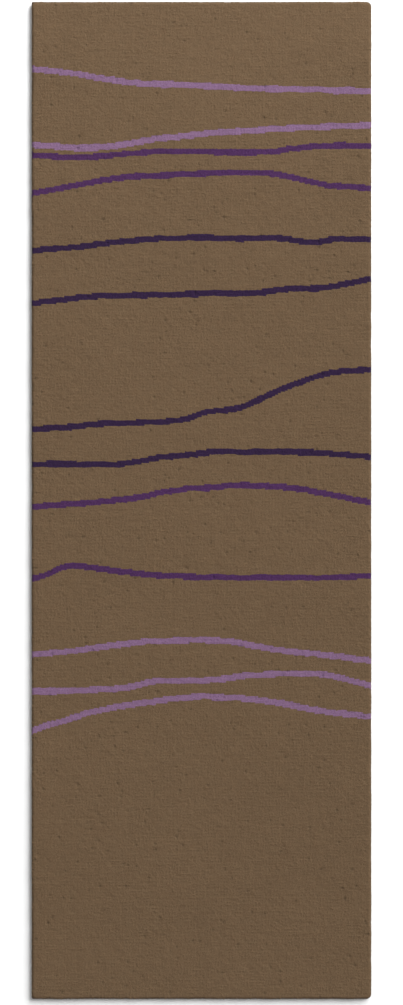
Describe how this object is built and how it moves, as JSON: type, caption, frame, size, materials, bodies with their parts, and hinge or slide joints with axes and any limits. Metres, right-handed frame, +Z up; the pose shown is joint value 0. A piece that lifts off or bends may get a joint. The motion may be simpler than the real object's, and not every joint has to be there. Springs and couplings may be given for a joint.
{
  "type": "runner rug",
  "caption": "Long narrow cut-pile runner rug with wavy cross stripes in lilac, purple and near-black on brown, glued and bound underneath.",
  "frame": {"origin": "on the floor under the middle of the rug, at the underside of the binding tapes", "axes": "+X across the width, +Y along the length towards the end with the single lilac stripe near it, +Z up through the pile"},
  "size_m": [0.8128, 2.3876, 0.016],
  "materials": {
    "brown_yarn": "cut wool pile, matt, warm mid brown",
    "lilac_yarn": "cut wool pile, matt, greyed lilac",
    "purple_yarn": "cut wool pile, matt, deep purple",
    "dark_yarn": "cut wool pile, matt, near-black purple",
    "tufting_cloth": "plain-woven polycotton, matt, unbleached",
    "latex": "dried latex, satin, off-white",
    "scrim": "open gauze, matt, white",
    "backing_cloth": "plain-woven cotton canvas, matt, natural",
    "binding_tape": "herringbone cotton tape, matt, brown",
    "seam_thread": "polyester thread, slight sheen, tan",
    "care_label": "woven satin tag, off-white, blank"
  },
  "bodies": {
    "root": {"backing_cloth": "backing_cloth", "binding_tape_bottom_end": "binding_tape", "binding_tape_left": "binding_tape", "binding_tape_right": "binding_tape", "binding_tape_top_end": "binding_tape", "care_label": "care_label", "label_seam": "seam_thread", "latex_adhesive": "latex", "latex_precoat": "latex", "pile_ground_01": "brown_yarn", "pile_ground_02": "brown_yarn", "pile_ground_03": "brown_yarn", "pile_ground_04": "brown_yarn", "pile_ground_05": "brown_yarn", "pile_ground_06": "brown_yarn", "pile_ground_07": "brown_yarn", "pile_ground_08": "brown_yarn", "pile_ground_09": "brown_yarn", "pile_ground_10": "brown_yarn", "pile_ground_11": "brown_yarn", "pile_ground_12": "brown_yarn", "pile_ground_13": "brown_yarn", "pile_ground_14": "brown_yarn", "pile_stripe_01_lilac": "lilac_yarn", "pile_stripe_02_lilac": "lilac_yarn", "pile_stripe_03_purple": "purple_yarn", "pile_stripe_04_purple": "purple_yarn", "pile_stripe_05_dark": "dark_yarn", "pile_stripe_06_dark": "dark_yarn", "pile_stripe_07_dark": "dark_yarn", "pile_stripe_08_dark": "dark_yarn", "pile_stripe_09_purple": "purple_yarn", "pile_stripe_10_purple": "purple_yarn", "pile_stripe_11_lilac": "lilac_yarn", "pile_stripe_12_lilac": "lilac_yarn", "pile_stripe_13_lilac": "lilac_yarn", "scrim": "scrim", "tape_seam_bottom_end": "seam_thread", "tape_seam_left": "seam_thread", "tape_seam_right": "seam_thread", "tape_seam_top_end": "seam_thread", "tufting_cloth": "tufting_cloth"}
  },
  "joints": []
}
